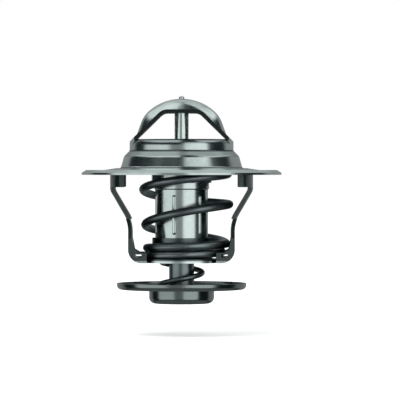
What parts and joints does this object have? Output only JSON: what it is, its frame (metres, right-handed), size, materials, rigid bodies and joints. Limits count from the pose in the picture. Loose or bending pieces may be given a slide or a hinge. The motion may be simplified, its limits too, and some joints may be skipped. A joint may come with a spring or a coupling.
{
  "type": "engine thermostat",
  "caption": "Coolant valve insert: flanged dome with a bridge, sprung wax element in a stirrup, and a sprung bypass disc below.",
  "frame": {"origin": "on the axis, at the lower face of the flange", "axes": "+Z along the axis towards the bridge; the bridge and the stirrup lie in the XZ plane; the picture looks along +Y"},
  "size_m": [0.054, 0.054, 0.0561],
  "materials": {
    "pressed_steel": "bright cold-rolled sheet, pressed",
    "polished_steel": "ground and polished",
    "spring_wire": "dark blue-grey drawn wire",
    "rubber": "matt",
    "brass": "turned",
    "hard_plastic": "plain",
    "element_steel": "drawn, satin",
    "wax": "plain",
    "stem_steel": "turned, satin"
  },
  "bodies": {
    "housing": {"valve_housing": "pressed_steel", "lower_frame": "pressed_steel", "piston": "polished_steel", "main_spring": "spring_wire"},
    "element": {"main_valve_disc": "pressed_steel", "valve_seal": "rubber", "locking_ring": "spring_wire", "guide_bush": "brass", "piston_wiper": "rubber", "backup_washer": "hard_plastic", "element_cup": "element_steel", "rubber_sleeve": "rubber", "wax_charge": "wax", "stem": "stem_steel", "stem_clip": "spring_wire", "bypass_spring": "spring_wire"},
    "bypass": {"bypass_disc": "pressed_steel"}
  },
  "joints": [
    {"name": "valve_lift", "type": "slide", "parent": "housing", "child": "element", "axis": [0, 0, -1], "range_m": [0, 0.008], "stiffness_N_per_m": 800, "springref_m": -0.004, "deforming": ["main_spring"]},
    {"name": "bypass_lift", "type": "slide", "parent": "element", "child": "bypass", "axis": [0, 0, 1], "range_m": [0, 0.003], "stiffness_N_per_m": 800, "springref_m": -0.002, "deforming": ["bypass_spring"]}
  ]
}
